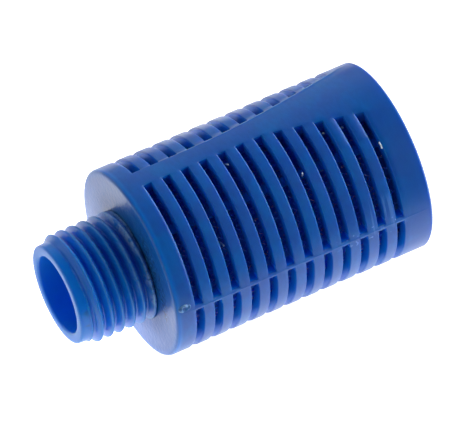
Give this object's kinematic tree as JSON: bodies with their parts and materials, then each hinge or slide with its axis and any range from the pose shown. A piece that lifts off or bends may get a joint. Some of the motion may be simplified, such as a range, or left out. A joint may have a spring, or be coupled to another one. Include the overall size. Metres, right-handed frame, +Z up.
{
  "type": "pneumatic exhaust muffler",
  "caption": "Screw-in exhaust muffler: threaded spigot, shoulder and slotted cylindrical barrel around a wire gauze and felt packing, closed by a plug at the far end.",
  "frame": {"origin": "centre of the shoulder's seat face, on the muffler's axis", "axes": "+X along the axis from the threaded spigot to the closed end, +Z up when the muffler lies on its side; the mould parting plane is tilted round X as in the picture"},
  "size_m": [0.0419, 0.0224, 0.0224],
  "materials": {
    "blue_plastic": "satin moulded",
    "bronze_gauze": "dull woven wire",
    "felt": "matt fibre",
    "fine_gauze": "fine woven wire",
    "tube_metal": "satin",
    "pad_fibre": "matt fibre"
  },
  "bodies": {
    "root": {"housing": "blue_plastic", "outer_gauze": "bronze_gauze", "felt_sleeve": "felt", "inner_gauze": "fine_gauze", "core_tube": "tube_metal", "inlet_pad": "pad_fibre", "end_pad": "pad_fibre", "end_plug": "blue_plastic"}
  },
  "joints": []
}
